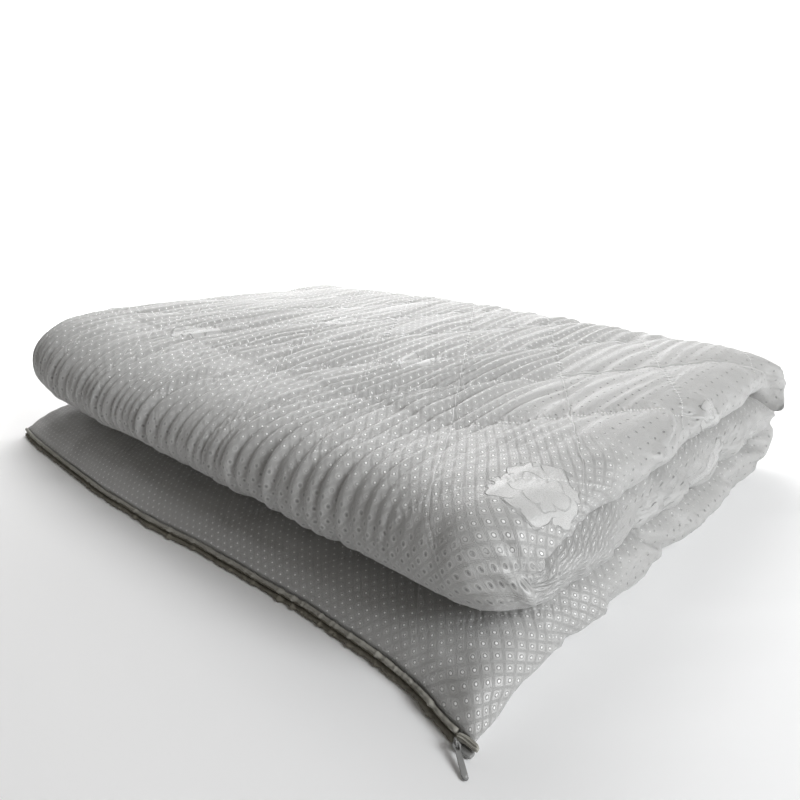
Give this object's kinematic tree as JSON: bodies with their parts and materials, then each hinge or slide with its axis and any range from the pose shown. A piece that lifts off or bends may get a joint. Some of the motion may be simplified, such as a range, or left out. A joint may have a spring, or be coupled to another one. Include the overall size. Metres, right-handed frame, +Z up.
{
  "type": "folded guest mattress",
  "caption": "Quilted guest mattress in a zipped cover, folded in three, lying flat with its zipped end in front.",
  "frame": {"origin": "middle of the bottom of the box around the whole object, on the surface it lies on", "axes": "+X along the folds to the end with the zip slider, +Y from the zipped front edge to the back fold, +Z up"},
  "size_m": [0.9158, 0.6554, 0.1712],
  "materials": {
    "cover": "silver grey satin jacquard, quilted",
    "zip_tape": "olive grey woven tape",
    "zip_teeth": "moulded coil, satin",
    "zip_pull": "grey enamelled, satin"
  },
  "bodies": {
    "root": {"mattress": "cover", "zip_lip_upper": "zip_tape", "zip_lip_lower": "zip_tape", "zip_tape_end": "zip_tape", "zip_chain": "zip_teeth", "zip_slider": "zip_pull", "pull_loop": "zip_pull", "pull_tab": "zip_pull"}
  },
  "joints": []
}
